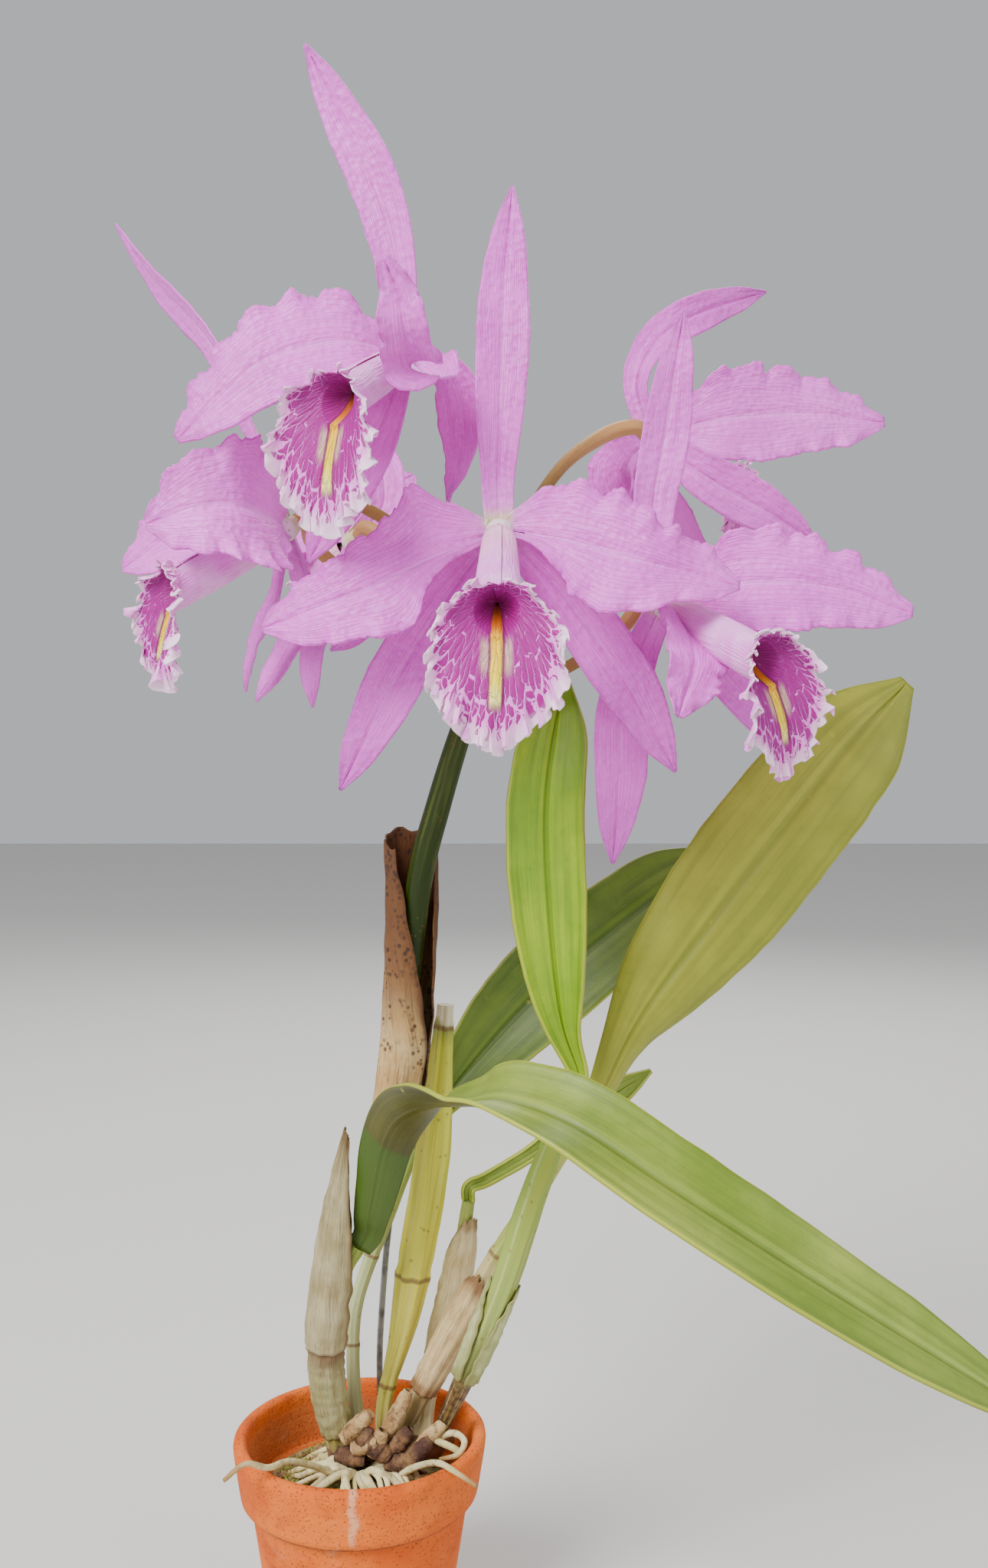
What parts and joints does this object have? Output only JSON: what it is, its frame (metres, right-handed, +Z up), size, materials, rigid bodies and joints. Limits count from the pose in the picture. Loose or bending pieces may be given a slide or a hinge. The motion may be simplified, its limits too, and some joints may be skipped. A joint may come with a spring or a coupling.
{
  "type": "cattleya orchid in a pot",
  "caption": "Cattleya orchid in flower: frilled lavender blooms with veined magenta lips on one stem, strap leaves and dry-sheathed canes in a clay pot with a banded rim.",
  "frame": {"origin": "centre of the flat underside of the clay pot", "axes": "+Z up along the pot's axis; -Y is the front, towards which the front bloom faces; +X is the side the long folded leaf reaches to"},
  "size_m": [0.2622, 0.1688, 0.4932],
  "materials": {
    "clay": "matte",
    "moss_and_bark": "matte",
    "root": "matte",
    "cane": "satin",
    "leaf": "satin",
    "dry_sheath": "matte",
    "stem": "satin",
    "petal": "satin",
    "lip": "satin",
    "zinc_wire": "satin"
  },
  "bodies": {
    "root": {"pot": "clay", "potting_mix": "moss_and_bark", "roots": "root", "canes": "cane", "support_wire": "zinc_wire", "leaf_centre": "leaf", "leaf_right": "leaf", "leaf_back": "leaf", "leaf_front": "leaf", "leaf_small": "leaf", "flower_sheath": "dry_sheath", "leading_cane_sheath": "dry_sheath", "right_cane_sheath": "dry_sheath", "papery_cane_sheath": "dry_sheath", "leaning_cane_sheath": "dry_sheath", "flower_stem": "stem", "bloom_front": "petal", "lip_front": "lip", "bloom_upper_left": "petal", "lip_upper_left": "lip", "bloom_left": "petal", "lip_left": "lip", "bloom_back_left": "petal", "lip_back_left": "lip", "bloom_right": "petal", "lip_right": "lip", "bloom_upper_right": "petal", "lip_upper_right": "lip"}
  },
  "joints": []
}
